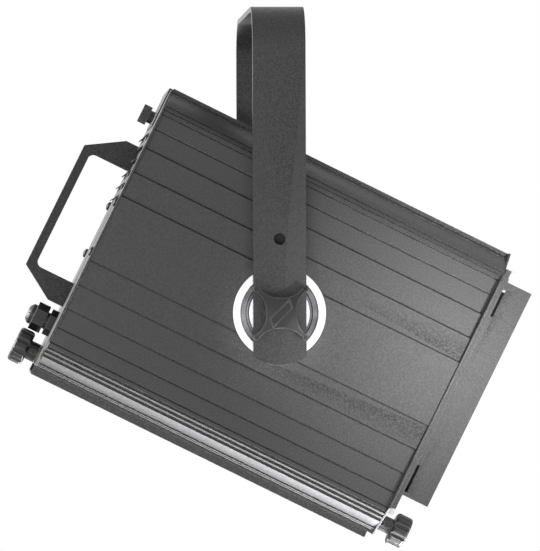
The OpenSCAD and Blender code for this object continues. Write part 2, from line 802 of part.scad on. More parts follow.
module focus_spindle() color(zinc) in_housing()
    bar_u(rear_knob_u - rear_knob_h + 4, spindle_d,
        front_knob_u + front_knob_h - 4 - (rear_knob_u - rear_knob_h + 4), 0, -spindle_v);

// Focus knob: hub, then a fluted head with rounded edges, drawn outwards
module focus_knob(head_d, head_h, hub_d, hub_h) {
    edge_r = 3.5;
    flute_d = 7;
    flutes = 10;
    difference() {
        union() {
            cylinder(d = hub_d, h = hub_h + through);
            translate([0, 0, hub_h]) rotate_extrude($fn = 96) {
                square([head_d / 2 - edge_r, head_h]);
                translate([0, edge_r]) square([head_d / 2, head_h - 2 * edge_r]);
                for (z = [edge_r, head_h - edge_r]) translate([head_d / 2 - edge_r, z]) circle(edge_r);
            }
        }
        for (i = [0:flutes - 1]) rotate(i * 360 / flutes)
            translate([head_d / 2 + flute_d * 0.3, 0, hub_h - through])
                cylinder(d = flute_d, h = head_h + 2 * through, $fn = 32);
        translate([0, 0, -through]) cylinder(d = spindle_d, h = hub_h + head_h - 4 + through);
    }
}

module rear_focus_knob() color(black) in_housing()
    translate([rear_knob_u + rear_hub_h, 0, -spindle_v]) rotate([0, -90, 0])
        focus_knob(rear_knob_d, rear_knob_h, 18.8, rear_hub_h);

module front_focus_knob() color(black) in_housing()
    translate([front_knob_u - front_hub_h, 0, -spindle_v]) rotate([0, 90, 0])
        focus_knob(front_knob_d, front_knob_h, 16.5, front_hub_h);

// Carriage: plate on four slide bushes, moved by the nut on the spindle
module carriage_plate() color(zinc) in_housing()
    block([mirror_back - bracket_t - 3, -carriage_w / 2, carriage_under],
        [carriage_len, carriage_w, carriage_t]);

module carriage_bushes() color([0.70, 0.60, 0.35]) in_housing() {
    first = mirror_back - bracket_t + 2;
    last = first + carriage_len - slide_bush_len - 10;
    for (y = [-rail_gap / 2, rail_gap / 2], u = [first, last]) difference() {
        bar_u(u, slide_bush_d, slide_bush_len, y, -rail_v);
        bar_u(u - through, rail_d + 2 * running, slide_bush_len + 2 * through, y, -rail_v);
    }
}

module spindle_nut() color([0.70, 0.60, 0.35]) in_housing() difference() {
    nut_h = carriage_under + spindle_v + 8;
    block([lamp_u - 10, -11, carriage_under - nut_h], [20, 22, nut_h]);
    bar_u(lamp_u - 10 - through, spindle_d + 2 * running, 20 + 2 * through, 0, -spindle_v);
}

// Z-shaped bracket under the lamp holder
module lamp_bracket() color(zinc) in_housing() {
    w = lamp_holder_size[1];
    top = holder_top - lamp_holder_size[2];
    block([lamp_u - 30, -w / 2, carriage_top], [20, w, bracket_t]);
    block([lamp_u - 12, -w / 2, carriage_top], [bracket_t, w, top - carriage_top]);
    block([lamp_u - 12, -w / 2, top - bracket_t], [12 + lamp_holder_size[0] / 2, w, bracket_t]);
}

module lamp_holder() color([0.93, 0.92, 0.88]) in_housing()
    block([lamp_u - lamp_holder_size[0] / 2, -lamp_holder_size[1] / 2, holder_top - lamp_holder_size[2]],
        lamp_holder_size);

module lamp_base() color([0.93, 0.92, 0.88]) in_housing()
    block([lamp_u - 8, -15, holder_top], [16, 30, lamp_base_h]);

module lamp_bulb() color([0.9, 0.9, 0.92, 0.4]) in_housing() translate([lamp_u, 0, holder_top + lamp_base_h]) {
    bulb_h = 1.35 * light_centre;
    cylinder(d = bulb_d, h = bulb_h);
    translate([0, 0, bulb_h]) sphere(d = bulb_d);
}

// Reflector: part of a sphere about the filament, with a hole for its rivet
module reflector() color(bright) in_housing() translate([lamp_u, 0, axis_v]) intersection() {
    difference() {
        sphere(r = mirror_r + mirror_t, $fn = 96);
        sphere(r = mirror_r, $fn = 96);
        translate([-2 * mirror_r, 0, 0]) about_u() cylinder(d = rivet_d + 2 * running, h = 2 * mirror_r);
    }
    translate([-3 * mirror_r, -2 * mirror_r, -2 * mirror_r])
        cube([3 * mirror_r - mirror_r * cos(mirror_angle), 4 * mirror_r, 4 * mirror_r]);
}

module reflector_bracket() color(zinc) in_housing() {
    block([mirror_back - bracket_t, -12, carriage_top], [bracket_t, 24, axis_v + 15 - carriage_top]);
    block([mirror_back, -12, carriage_top], [8, 24, bracket_t]);
    bar_u(mirror_back, rivet_d, 2 * mirror_t, 0, axis_v);
}

// Lens door: shallow tray with a round hole, and its hinge knuckles
module lens_door() color(charcoal) in_housing() {
    height = door_top + door_bottom;
    difference() {
        block([door_back, -door_w / 2, -door_bottom], [door_depth, door_w, height]);
        block([door_back - through, -door_w / 2 + door_sheet, -door_bottom + door_sheet],
            [door_depth - door_plate + through, door_w - 2 * door_sheet, height - 2 * door_sheet]);
        bar_u(door_back, 2 * door_hole_r, door_depth + through, 0, axis_v);
    }
    hinge_points() difference() {
        union() {
            knuckle(hinge_mid_w, hinge_pin_d + 2 * running);
            block([0, -hinge_mid_w / 2, 0], [hinge_leaf_t, hinge_mid_w, hinge_r + face_gap + 14]);
        }
        across() cylinder(d = hinge_pin_d + 2 * running, h = hinge_mid_w + 2 * through, center = true);
    }
}

module lens_cell() color(black) in_housing() translate([0, 0, axis_v]) difference() {
    back = lens_u - retainer_t - face_gap - 1;
    bar_u(back, 2 * cell_r, door_face - door_plate - back);
    bar_u(back - through, 2 * (cell_r - cell_wall), seat_u - back + through);
    bar_u(back, 2 * seat_r, door_face - back);
    bar_u(seat_u + 2, 2 * (cell_r - cell_wall), door_face - seat_u);
}

module lens() color([0.85, 0.90, 0.92, 0.4]) in_housing() translate([0, 0, axis_v]) intersection() {
    bar_u(lens_u, lens_d, lens_r);
    translate([lens_centre_u, 0, 0]) sphere(r = lens_r, $fn = 200);
}

module lens_retainer() color(black) in_housing() translate([0, 0, axis_v]) difference() {
    bar_u(lens_u - face_gap - retainer_t, 2 * (cell_r - cell_wall - running), retainer_t);
    bar_u(lens_u - face_gap - retainer_t - through, 2 * (lens_rad - 5.5), retainer_t + 2 * through);
}

// Accessory holder: folded box, open at the top and in front
module holder_ring(u, t, inner) difference() {
    block([u, -holder_in - holder_t, holder_bottom], [t, holder_w, holder_w]);
    block([u - through, -holder_in - holder_t + inner, holder_bottom + inner],
        [t + 2 * through, holder_w - 2 * inner, holder_w]);
}

module holder_screw_points() for (y = [-1, 1], v = [axis_v - 55, axis_v + 55])
    translate([0, y * (holder_w / 2 - flange_in / 2), v]) children();

module accessory_holder() color(charcoal) in_housing() {
    difference() {
        union() {
            holder_ring(holder_u, holder_depth, holder_t);
            holder_ring(holder_u, holder_t, flange_in);
            block([holder_u, -holder_w / 2, holder_rim - flange_in], [holder_t, holder_w, flange_in]);
        }
        block([holder_u - through, -knob_bay / 2, holder_bottom - through],
            [holder_depth + 2 * through, knob_bay, 2 * flange_in]);
        for (y = [-holder_w / 2 - through, holder_w / 2 - slit_in], v = [holder_bottom + 4, holder_rim - 36])
            block([holder_u - through, y, v], [slit_w + through, slit_in + through, slit_h]);
        holder_screw_points()
            bar_u(holder_u - through, holder_screw_d + 2 * running, holder_t + 2 * through);
    }
    for (y = [-1, 1]) translate([0, y * (gate_w / 2 + face_gap + ear_t / 2), 0]) difference() {
        union() {
            block([holder_u, -ear_t / 2, holder_rim], [gate_u + 3.5 - holder_u, ear_t, gate_pin_v + 3 - holder_rim]);
            block([holder_u, -ear_t / 2, holder_rim - flange_in], [holder_t, ear_t, flange_in]);
        }
        translate([gate_u, 0, gate_pin_v]) across()
            cylinder(d = gate_pin_d + 2 * running, h = 2 * ear_t, center = true, $fn = 32);
    }
}

// Guides welded inside the holder: one pair in front of the colour frame's slot, one behind it
module frame_guides() color(charcoal) in_housing() for (u = [divider_u, holder_front - holder_t])
    difference() {
        block([u, -holder_in, holder_bottom + holder_t], [holder_t, 2 * holder_in, holder_w - holder_t]);
        block([u - through, -holder_in - holder_t + lip_w, holder_bottom + lip_w],
            [holder_t + 2 * through, holder_w - 2 * lip_w, holder_w]);
        block([u - through, -knob_bay / 2, holder_bottom - through],
            [holder_t + 2 * through, knob_bay, 2 * flange_in]);
    }

module holder_screws() color(zinc) in_housing() holder_screw_points() {
    translate([holder_u + holder_t, 0, 0]) about_u() pan_head(2 * holder_screw_d, 2.6);
    bar_u(holder_u, holder_screw_d, holder_t);
}

// Frame catch: gate across the holder's open top, turning on its pin
module frame_catch() color(bright) in_housing() difference() {
    union() {
        block([gate_u - 2.5, -gate_w / 2, gate_v], [holder_front - gate_u + 2.5, gate_w, gate_t]);
        translate([gate_u, 0, gate_pin_v]) across() cylinder(r = gate_knuckle_r, h = gate_w, center = true);
    }
    translate([gate_u, 0, gate_pin_v]) across()
        cylinder(d = gate_pin_d + 2 * running, h = gate_w + 2 * through, center = true, $fn = 32);
}

module frame_catch_pin() color(zinc) in_housing() translate([gate_u, 0, gate_pin_v]) across()
    cylinder(d = gate_pin_d, h = gate_w + 2 * (face_gap + ear_t), center = true, $fn = 32);

// Knurled thumbscrew that holds the cover's rear flange
module cover_thumbscrew() color(black) in_housing() translate([flange_face, 0, thumb_v]) rotate([0, -90, 0]) {
    knurls = 24;
    translate([0, 0, -plate_t - cover_t - 8]) cylinder(d = thumb_shank_d, h = 12 + plate_t + cover_t);
    translate([0, 0, face_gap]) cylinder(d = thumb_collar_d, h = thumb_collar_h);
    translate([0, 0, face_gap + thumb_collar_h]) difference() {
        cylinder(d = thumb_d, h = thumb_head_h);
        for (i = [0:knurls - 1]) rotate(i * 360 / knurls) translate([thumb_d / 2, 0, thumb_head_h / 2])
            rotate(45) cube([1.2, 1.2, thumb_head_h + 2 * through], center = true);
    }
}

yoke();
side_panel(LEFT);  // side_panel_left
side_panel(RIGHT);  // side_panel_right
shoulder(LEFT, true);  // upper_shoulder_left
shoulder(RIGHT, true);  // upper_shoulder_right
shoulder(LEFT, false);  // lower_shoulder_left
shoulder(RIGHT, false);  // lower_shoulder_right
top_cover();
light_baffle();
bottom_tray();
rear_panel();
rear_panel_screws();
rear_handle();
handle_bolts();
handle_nuts();
gland_body();
gland_nut();
gland_seal();
gland_locknut();
terminal_block();
front_frame();
front_frame_screws();
door_hinge_leaves();
door_hinge_pins();
door_catches();
pivot_disc(LEFT);  // pivot_disc_left
pivot_disc(RIGHT);  // pivot_disc_right
friction_washers();
pivot_backing_plates();
pivot_bolt();
pivot_bolt_washer();
pivot_lock_nut();
tilt_knob();
knob_stud();
knob_washer();
carriage_rails();
rail_sockets();
spindle_bushes();
focus_spindle();
rear_focus_knob();
front_focus_knob();
carriage_plate();
carriage_bushes();
spindle_nut();
lamp_bracket();
lamp_holder();
lamp_base();
lamp_bulb();
reflector();
reflector_bracket();
lens_door();
lens_cell();
lens();
lens_retainer();
accessory_holder();
frame_guides();
holder_screws();
frame_catch();
frame_catch_pin();
cover_thumbscrew();
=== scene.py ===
import json
import math

import bmesh
import bpy
from mathutils import Matrix, Vector


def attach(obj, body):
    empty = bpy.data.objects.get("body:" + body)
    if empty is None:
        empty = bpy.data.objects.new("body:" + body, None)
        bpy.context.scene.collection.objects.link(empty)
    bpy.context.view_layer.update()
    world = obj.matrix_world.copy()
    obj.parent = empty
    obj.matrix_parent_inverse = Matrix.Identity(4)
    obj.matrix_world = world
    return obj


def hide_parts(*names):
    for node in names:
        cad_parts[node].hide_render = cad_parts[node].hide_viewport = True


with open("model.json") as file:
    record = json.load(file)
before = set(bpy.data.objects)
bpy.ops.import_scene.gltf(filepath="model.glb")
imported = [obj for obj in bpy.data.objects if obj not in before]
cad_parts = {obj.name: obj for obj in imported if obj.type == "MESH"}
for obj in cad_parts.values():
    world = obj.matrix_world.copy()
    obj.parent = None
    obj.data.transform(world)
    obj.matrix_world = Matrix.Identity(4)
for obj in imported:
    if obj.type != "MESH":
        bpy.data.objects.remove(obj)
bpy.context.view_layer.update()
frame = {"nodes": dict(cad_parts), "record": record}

RECORD = frame["record"]
NODES = frame["nodes"]
SLOT_OF = {s["node"]: s["material_slot"] for s in RECORD["subparts"]}
BODY_OF = {n: b for b, names in RECORD["behaviour"]["bodies"].items() for n in names}

# The housing hangs nose-down in the yoke. Its own axes: u along the beam, y across, v up.
TILT = math.radians(26.4)
PIVOT = Vector((0, 0, -0.290))
TO_ROW = Matrix.Translation(PIVOT) @ Matrix.Rotation(TILT, 4, "Y")


def at(u, y, v):
    """A point of the housing, given in millimetres from the tilt pivot, in the row frame."""
    return TO_ROW @ Vector((u / 1000, y / 1000, v / 1000))


# Camera, fitted to points of the photograph
PHOTO_W = 540
SENSOR_MM = 36
CAM_YAW, CAM_PITCH, CAM_ROLL = math.radians(3.40), math.radians(0.09), math.radians(-0.19)
CAM_FOCAL_PX = 4783.2
CAM_DISTANCE = 4.500
CAM_TARGET = Vector((-0.0089, -0.142, -0.2547))


def make_camera():
    look = Vector((math.sin(CAM_YAW) * math.cos(CAM_PITCH), math.cos(CAM_YAW) * math.cos(CAM_PITCH),
                   math.sin(CAM_PITCH)))
    right = look.cross(Vector((0, 0, 1))).normalized()
    up = right.cross(look)
    r = right * math.cos(CAM_ROLL) + up * math.sin(CAM_ROLL)
    u = up * math.cos(CAM_ROLL) - right * math.sin(CAM_ROLL)
    data = bpy.data.cameras.new("camera")
    data.sensor_fit = "HORIZONTAL"
    data.sensor_width = SENSOR_MM
    data.lens = CAM_FOCAL_PX / PHOTO_W * SENSOR_MM
    data.clip_end = 60
    cam = bpy.data.objects.new("camera", data)
    cam.matrix_world = Matrix.Translation(CAM_TARGET - look * CAM_DISTANCE) @ Matrix(
        (r, u, -look)).transposed().to_4x4()
    bpy.context.scene.collection.objects.link(cam)
    bpy.context.scene.camera = cam


make_camera()


class Shader:
    """A small helper around one material's node tree."""

    def __init__(self, name):
        self.mat = bpy.data.materials.new(name)
        self.mat.use_nodes = True
        self.tree = self.mat.node_tree
        self.bsdf = self.tree.nodes["Principled BSDF"]
        self.coord = self.add("ShaderNodeTexCoord").outputs["Object"]

    def add(self, kind, **settings):
        node = self.tree.nodes.new(kind)
        for key, value in settings.items():
            if key in node.inputs:
                node.inputs[key].default_value = value
            else:
                setattr(node, key, value)
        return node

    def link(self, out, target):
        self.tree.links.new(out, target)

    def set(self, **values):
        for key, value in values.items():
            self.bsdf.inputs[key.replace("_", " ")].default_value = value

    def noise(self, scale, detail=2.0, roughness=0.5, stretch=None):
        node = self.add("ShaderNodeTexNoise", Scale=scale, Detail=detail, Roughness=roughness)
        source = self.coord
        if stretch:
            mapping = self.add("ShaderNodeMapping")
            mapping.inputs["Scale"].default_value = stretch
            self.link(source, mapping.inputs["Vector"])
            source = mapping.outputs["Vector"]
        self.link(source, node.inputs["Vector"])
        return node.outputs["Fac"]

    def ramp(self, fac, stops):
        """Each stop is (position, colour)."""
        node = self.add("ShaderNodeValToRGB")
        ramp = node.color_ramp
        while len(ramp.elements) < len(stops):
            ramp.elements.new(0.5)
        for element, (position, colour) in zip(ramp.elements, stops):
            element.position = position
            element.color = (*colour, 1)
        self.link(fac, node.inputs["Fac"])
        return node.outputs["Color"]

    def to_range(self, fac, low, high, start=0.3, end=0.7):
        """low at start, high at end, and even between them."""
        node = self.add("ShaderNodeMapRange")
        for key, value in (("From Min", start), ("From Max", end), ("To Min", low), ("To Max", high)):
            node.inputs[key].default_value = value
        self.link(fac, node.inputs["Value"])
        return node.outputs["Result"]

    def mix(self, fac, a, b):
        node = self.add("ShaderNodeMix", data_type="RGBA")
        for value, name in ((a, "A"), (b, "B")):
            socket = [s for s in node.inputs if s.name == name and s.type == "RGBA"][0]
            if isinstance(value, tuple):
                socket.default_value = (*value, 1)
            else:
                self.link(value, socket)
        factor = [s for s in node.inputs if s.name == "Factor" and s.type == "VALUE"][0]
        if isinstance(fac, float):
            factor.default_value = fac
        else:
            self.link(fac, factor)
        return [s for s in node.outputs if s.type == "RGBA"][0]

    def near_edge(self, radius):
        """1 along edges, 0 a radius away from them."""
        rounded_off = self.add("ShaderNodeBevel", samples=6)
        rounded_off.inputs["Radius"].default_value = radius
        geometry = self.add("ShaderNodeNewGeometry")
        same = self.add("ShaderNodeVectorMath", operation="DOT_PRODUCT")
        self.link(rounded_off.outputs["Normal"], same.inputs[0])
        self.link(geometry.outputs["Normal"], same.inputs[1])
        return self.to_range(same.outputs["Value"], 1.0, 0.0, start=0.93, end=0.995)

    def colour(self, out):
        self.link(out, self.bsdf.inputs["Base Color"])

    def roughness(self, out):
        self.link(out, self.bsdf.inputs["Roughness"])

    def bump(self, *layers):
        """Each layer is (height socket, strength, distance in metres)."""
        previous = None
        for height, strength, distance in layers:
            node = self.add("ShaderNodeBump", Strength=strength, Distance=distance)
            self.link(height, node.inputs["Height"])
            if previous:
                self.link(previous, node.inputs["Normal"])
            previous = node.outputs["Normal"]
        self.link(previous, self.bsdf.inputs["Normal"])


def shade(rgb, k):
    return tuple(min(1.0, c * k) for c in rgb)


def powder_coat(name, base, grain=820.0, rough=(0.36, 0.50), wear=0.0):
    """Fine-textured powder coat: pimpled surface, speckled colour, edges worn a little lighter."""
    s = Shader(name)
    fine, coarse, cloud = s.noise(grain), s.noise(grain * 0.42), s.noise(9.0, detail=3.0)
    speckle = s.ramp(fine, [(0.37, shade(base, 0.35)), (0.50, base), (0.63, shade(base, 1.9))])
    dusty = s.ramp(cloud, [(0.35, shade(base, 0.90)), (0.65, shade(base, 1.14))])
    colour = s.mix(0.12, speckle, dusty)
    if wear:
        geometry = s.add("ShaderNodeNewGeometry")
        edge = s.to_range(geometry.outputs["Pointiness"], 0.0, wear, start=0.515, end=0.56)
        colour = s.mix(edge, colour, shade(base, 2.2))
    s.colour(colour)
    s.roughness(s.to_range(coarse, *rough))
    s.set(Specular_IOR_Level=0.4)
    s.bump((fine, 0.45, 0.0002), (coarse, 0.35, 0.0002))
    return s.mat


def moulded(name, base, rough=(0.30, 0.46), edge_highlight=None):
    """Moulded plastic: faint flow marks and a slightly uneven satin skin. Its last argument is the
    colour of a painted highlight along its edges, for light that rounded edges catch."""
    s = Shader(name)
    skin = s.noise(420.0, detail=3.0)
    flow = s.noise(38.0, detail=3.0, roughness=0.6, stretch=(1.0, 1.0, 3.0))
    colour = s.ramp(flow, [(0.35, shade(base, 0.8)), (0.68, shade(base, 1.3))])
    # Painted highlight: edges lighter in colour, standing in for light that rounded edges catch
    if edge_highlight:
        colour = s.mix(s.near_edge(0.0016), colour, edge_highlight)
    s.colour(colour)
    s.roughness(s.to_range(skin, *rough))
    s.bump((skin, 0.25, 0.00008), (flow, 0.10, 0.0003))
    return s.mat


def turned_metal(name, base, centre, rough, dark_ring):
    """Metal turned on a lathe about an axis along Y through centre: fine rings in height and gloss.
    The last argument is (inner radius, outer radius, colour) of a ring coloured darker, with radii in
    metres."""
    s = Shader(name)
    shift = s.add("ShaderNodeVectorMath", operation="SUBTRACT")
    s.link(s.coord, shift.inputs[0])
    shift.inputs[1].default_value = tuple(centre)
    split = s.add("ShaderNodeSeparateXYZ")
    s.link(shift.outputs[0], split.inputs[0])
    flat = s.add("ShaderNodeCombineXYZ")
    s.link(split.outputs["X"], flat.inputs["X"])
    s.link(split.outputs["Z"], flat.inputs["Z"])
    length = s.add("ShaderNodeVectorMath", operation="LENGTH")
    s.link(flat.outputs[0], length.inputs[0])
    radius = length.outputs["Value"]

    rings_per_metre = 2600.0
    scaled = s.add("ShaderNodeMath", operation="MULTIPLY")
    scaled.inputs[1].default_value = rings_per_metre
    s.link(radius, scaled.inputs[0])
    ring = s.add("ShaderNodeTexNoise", Scale=1.0, Detail=3.0)
    ring.noise_dimensions = "1D"
    s.link(scaled.outputs[0], ring.inputs["W"])
    smear = s.noise(60.0, detail=3.0)
    colour = s.mix(0.4, s.ramp(ring.outputs["Fac"], [(0.3, shade(base, 0.86)), (0.7, shade(base, 1.06))]),
                   s.ramp(smear, [(0.35, shade(base, 0.92)), (0.65, base)]))

    # Between these radii the colour is made darker
    inner, outer, ring_colour = dark_ring
    blend = 0.0002
    inside = s.to_range(radius, 0.0, 1.0, inner - blend, inner + blend)
    outside = s.to_range(radius, 1.0, 0.0, outer - blend, outer + blend)
    both = s.add("ShaderNodeMath", operation="MULTIPLY")
    s.link(inside, both.inputs[0])
    s.link(outside, both.inputs[1])
    ring_tone = s.ramp(smear, [(0.3, shade(ring_colour, 0.6)), (0.7, shade(ring_colour, 1.4))])
    s.colour(s.mix(both.outputs[0], colour, ring_tone))
    s.roughness(s.to_range(ring.outputs["Fac"], *rough))
    s.set(Metallic=1.0)
    s.bump((ring.outputs["Fac"], 0.28, 0.00008))
    return s.mat


def plated(name, base, rough=(0.24, 0.42)):
    """Plated or bare metal with faint clouding and fine scratches."""
    s = Shader(name)
    cloud, scratch = s.noise(55.0, detail=4.0, roughness=0.6), s.noise(900.0, stretch=(1.0, 0.12, 1.0))
    s.colour(s.ramp(cloud, [(0.32, shade(base, 0.82)), (0.68, shade(base, 1.08))]))
    s.roughness(s.to_range(cloud, *rough))
    s.set(Metallic=1.0)
    s.bump((scratch, 0.18, 0.00006))
    return s.mat


def ceramic(name, base):
    s = Shader(name)
    pits, cloud = s.noise(700.0, detail=3.0), s.noise(24.0, detail=3.0)
    s.colour(s.ramp(cloud, [(0.3, shade(base, 0.92)), (0.7, base)]))
    s.roughness(s.to_range(pits, 0.22, 0.40))
    s.set(Coat_Weight=0.3, Coat_Roughness=0.12)
    s.bump((pits, 0.15, 0.0001))
    return s.mat


def pressed_fibre(name, base):
    s = Shader(name)
    fibre, spots = s.noise(800.0, detail=4.0, roughness=0.7, stretch=(1.0, 4.0, 1.0)), s.noise(300.0)
    s.colour(s.ramp(fibre, [(0.3, shade(base, 0.6)), (0.7, shade(base, 1.5))]))
    s.roughness(s.to_range(spots, 0.78, 0.95))
    s.bump((fibre, 0.5, 0.0002))
    return s.mat


def glass(name, tint, pebble=None):
    """Clear glass. pebble is (scale, strength, distance) of a dimpled face."""
    s = Shader(name)
    streak = s.noise(30.0)
    s.colour(s.ramp(streak, [(0.3, shade(tint, 0.97)), (0.7, tint)]))
    s.set(Transmission_Weight=1.0, Roughness=0.02, IOR=1.5)
    if pebble:
        scale, strength, distance = pebble
        s.bump((s.noise(scale, detail=1.0), strength, distance))
    else:
        s.bump((streak, 0.05, 0.0005))
    return s.mat


CHARCOAL = (0.094, 0.094, 0.096)
DARK_GREY = (0.050, 0.050, 0.051)
# Radii in metres, and colour, of a ring coloured darker over the recessed annulus round the pivot
DARK_RING = (0.0285, 0.0367, (0.20, 0.20, 0.21))
MATERIALS = {
    "charcoal_paint": powder_coat("charcoal powder coat", CHARCOAL, wear=0.5),
    "black_paint": powder_coat("matt black paint", (0.022, 0.022, 0.022), 500.0, (0.62, 0.80)),
    "black_screws": plated("blackened steel", (0.05, 0.05, 0.052), (0.32, 0.5)),
    # Black nylon with a painted highlight along its edges
    "black_plastic": moulded("black nylon", (0.018, 0.018, 0.019), edge_highlight=(0.26, 0.26, 0.26)),
    "turned_aluminium": turned_metal("turned aluminium", (0.90, 0.90, 0.91), PIVOT, (0.16, 0.32),
                                     DARK_RING),
    "zinc_steel": plated("zinc-plated steel", (0.62, 0.62, 0.64)),
    "spring_steel": plated("bright spring steel", (0.74, 0.74, 0.76), (0.16, 0.30)),
    "bronze": plated("sintered bronze", (0.22, 0.19, 0.15), (0.42, 0.60)),
    "fibre": pressed_fibre("pressed fibre", (0.16, 0.10, 0.06)),
    "rubber": moulded("seal rubber", (0.025, 0.025, 0.025), (0.6, 0.8)),
    "ceramic": ceramic("glazed ceramic", (0.78, 0.75, 0.68)),
    "mirror": plated("polished mirror", (0.92, 0.92, 0.93), (0.03, 0.10)),
    "bulb_glass": glass("quartz glass", (0.98, 0.99, 1.0)),
    "lens_glass": glass("lens glass", (0.90, 0.97, 0.95), pebble=(420.0, 0.25, 0.0004)),
}

for node_name, node_obj in NODES.items():
    for material_slot in node_obj.material_slots:
        material_slot.material = MATERIALS[SLOT_OF[node_name]]


# Making, finishing and cutting pieces. Vertices closer than MERGE, in metres, become one.
MERGE = 1e-6
FLAT_ANGLE = math.radians(0.6)
EDGE_ANGLE = math.radians(32)
CUT_ANGLE = math.radians(50)


def new_piece(name, mesh, slot_name, body, *replaced):
    piece = bpy.data.objects.new(name, mesh)
    bpy.context.scene.collection.objects.link(piece)
    mesh.materials.clear()
    mesh.materials.append(MATERIALS[slot_name])
    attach(piece, body)
    if replaced:
        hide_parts(*replaced)
    return piece


def apply_modifiers(piece):
    bpy.context.view_layer.update()
    evaluated = piece.evaluated_get(bpy.context.evaluated_depsgraph_get())
    mesh = bpy.data.meshes.new_from_object(evaluated)
    piece.modifiers.clear()
    old = piece.data
    piece.data = mesh
    bpy.data.meshes.remove(old)


def forget_normals(mesh):
    if "custom_normal" in mesh.attributes:
        mesh.attributes.remove(mesh.attributes["custom_normal"])


def finish_normals(piece):
    """Flats stay flat beside broken edges. Applies the modifiers made before it too."""
    normals = piece.modifiers.new("normals", "WEIGHTED_NORMAL")
    normals.keep_sharp = True
    apply_modifiers(piece)


def broken_edges(piece, width_mm, edge_material=0):
    if width_mm:
        bevel = piece.modifiers.new("edges", "BEVEL")
        bevel.material = edge_material
        bevel.width = width_mm / 1000
        bevel.segments = 2
        bevel.limit_method = "ANGLE"
        bevel.angle_limit = EDGE_ANGLE
        bevel.miter_outer = "MITER_ARC"
        bevel.use_clamp_overlap = True
    finish_normals(piece)
    return piece


# Plates with many holes keep the CAD's triangles, since joining them would lose the holes
SLOTTED = ("top_cover", "rear_panel", "bottom_tray", "front_frame", "lens_door", "accessory_holder")


def softened(node, width_mm):
    """A copy of a CAD node with its edges broken, as folding, casting and painting leave them."""
    mesh = NODES[node].data.copy()
    bm = bmesh.new()
    bm.from_mesh(mesh)
    bmesh.ops.remove_doubles(bm, verts=bm.verts, dist=MERGE)
    if node not in SLOTTED:
        bmesh.ops.dissolve_limit(bm, angle_limit=FLAT_ANGLE, verts=bm.verts, edges=bm.edges)
    bmesh.ops.recalc_face_normals(bm, faces=bm.faces)
    bm.to_mesh(mesh)
    bm.free()
    forget_normals(mesh)
    mesh.shade_smooth()
    return broken_edges(new_piece(node + "_finished", mesh, SLOT_OF[node], BODY_OF[node], node),
                        width_mm)


def mesh_of(name, build):
    """A mesh of the closed volumes that build(bm) draws."""
    bm = bmesh.new()
    build(bm)
    bmesh.ops.recalc_face_normals(bm, faces=bm.faces)
    mesh = bpy.data.meshes.new(name)
    bm.to_mesh(mesh)
    bm.free()
    return mesh


def add_prism(bm, low_outline, high_outline):
    """A closed volume between two outlines with the same number of points, in the row frame."""
    low, high = [[bm.verts.new(point) for point in outline] for outline in (low_outline, high_outline)]
    bm.faces.new(low[::-1])
    bm.faces.new(high)
    for i in range(len(low)):
        j = (i + 1) % len(low)
        bm.faces.new((low[i], low[j], high[j], high[i]))


def add_tube(bm, place, radius, z_low, z_high, sides=24):
    """A closed cylinder in millimetres along the frame's Z."""
    r = radius / 1000
    angles = [2 * math.pi * i / sides for i in range(sides)]
    add_prism(bm, *[[place @ Vector((r * math.cos(a), r * math.sin(a), z / 1000)) for a in angles]
                    for z in (z_low, z_high)])


def add_box(bm, place, low, high, taper=1.0):
    """A box in millimetres; taper narrows its low end."""
    def ring(z, k):
        return [place @ Vector((x * k / 1000, y * k / 1000, z / 1000)) for x, y in
                ((low[0], low[1]), (high[0], low[1]), (high[0], high[1]), (low[0], high[1]))]
    add_prism(bm, ring(low[2], taper), ring(high[2], 1.0))


def add_side_box(bm, side, u, y, v):
    """A box of the housing in millimetres from its ranges along u, y and v, mirrored to one side."""
    y = sorted((side * y[0], side * y[1]))
    add_box(bm, TO_ROW, (u[0], y[0], v[0]), (u[1], y[1], v[1]))


def frame_on(point, normal, up=(0, 1, 0)):
    """A frame whose Z leaves a surface along normal (u, y, v) at point (u, y, v), in the row frame."""
    z = (TO_ROW.to_3x3() @ Vector(normal)).normalized()
    x = (TO_ROW.to_3x3() @ Vector(up)).cross(z).normalized()
    return Matrix.Translation(at(*point)) @ Matrix((x, z.cross(x), z)).transposed().to_4x4()


def crisp_cuts(piece):
    """Shades the cut's corners sharp and keeps the flats beside them flat."""
    mesh = piece.data
    forget_normals(mesh)
    bm = bmesh.new()
    bm.from_mesh(mesh)
    bmesh.ops.remove_doubles(bm, verts=bm.verts, dist=MERGE)
    bmesh.ops.dissolve_degenerate(bm, edges=bm.edges, dist=MERGE)
    for edge in bm.edges:
        edge.smooth = edge.calc_face_angle(math.pi) < CUT_ANGLE
    bm.to_mesh(mesh)
    bm.free()
    finish_normals(piece)


def cut(piece, build):
    """Takes the volume that build(bm) draws out of a finished piece."""
    mesh = mesh_of("cutter", build)
    tool = bpy.data.objects.new("cutter", mesh)
    bpy.context.scene.collection.objects.link(tool)
    modifier = piece.modifiers.new("cut", "BOOLEAN")
    modifier.object = tool
    modifier.operation = "DIFFERENCE"
    modifier.solver = "EXACT"
    modifier.use_self = True
    apply_modifiers(piece)
    crisp_cuts(piece)
    bpy.data.objects.remove(tool)
    bpy.data.meshes.remove(mesh)


# CAD pieces that are only finished: the width in mm of each one's broken edges
SOFT_EDGES = {
    "yoke": 0.45, "side_panel_left": 0.35, "side_panel_right": 0.35, "top_cover": 0.4,
    "bottom_tray": 0.4, "rear_panel": 0.35, "rear_handle": 0.8, "front_frame": 0.4,
    "lens_door": 0.5, "accessory_holder": 0, "gland_body": 0.5, "gland_nut": 0.6,
    "pivot_disc_left": 0.5, "pivot_disc_right": 0.5, "frame_catch": 0.3, "door_catches": 0.3,
    "cover_thumbscrew": 0.4, "tilt_knob": 0.5, "rear_focus_knob": 0.5, "front_focus_knob": 0.5,
    "terminal_block": 0.6, "lamp_holder": 1.0, "lamp_base": 1.0,
}
finished = {name: softened(name, width) for name, width in SOFT_EDGES.items()}


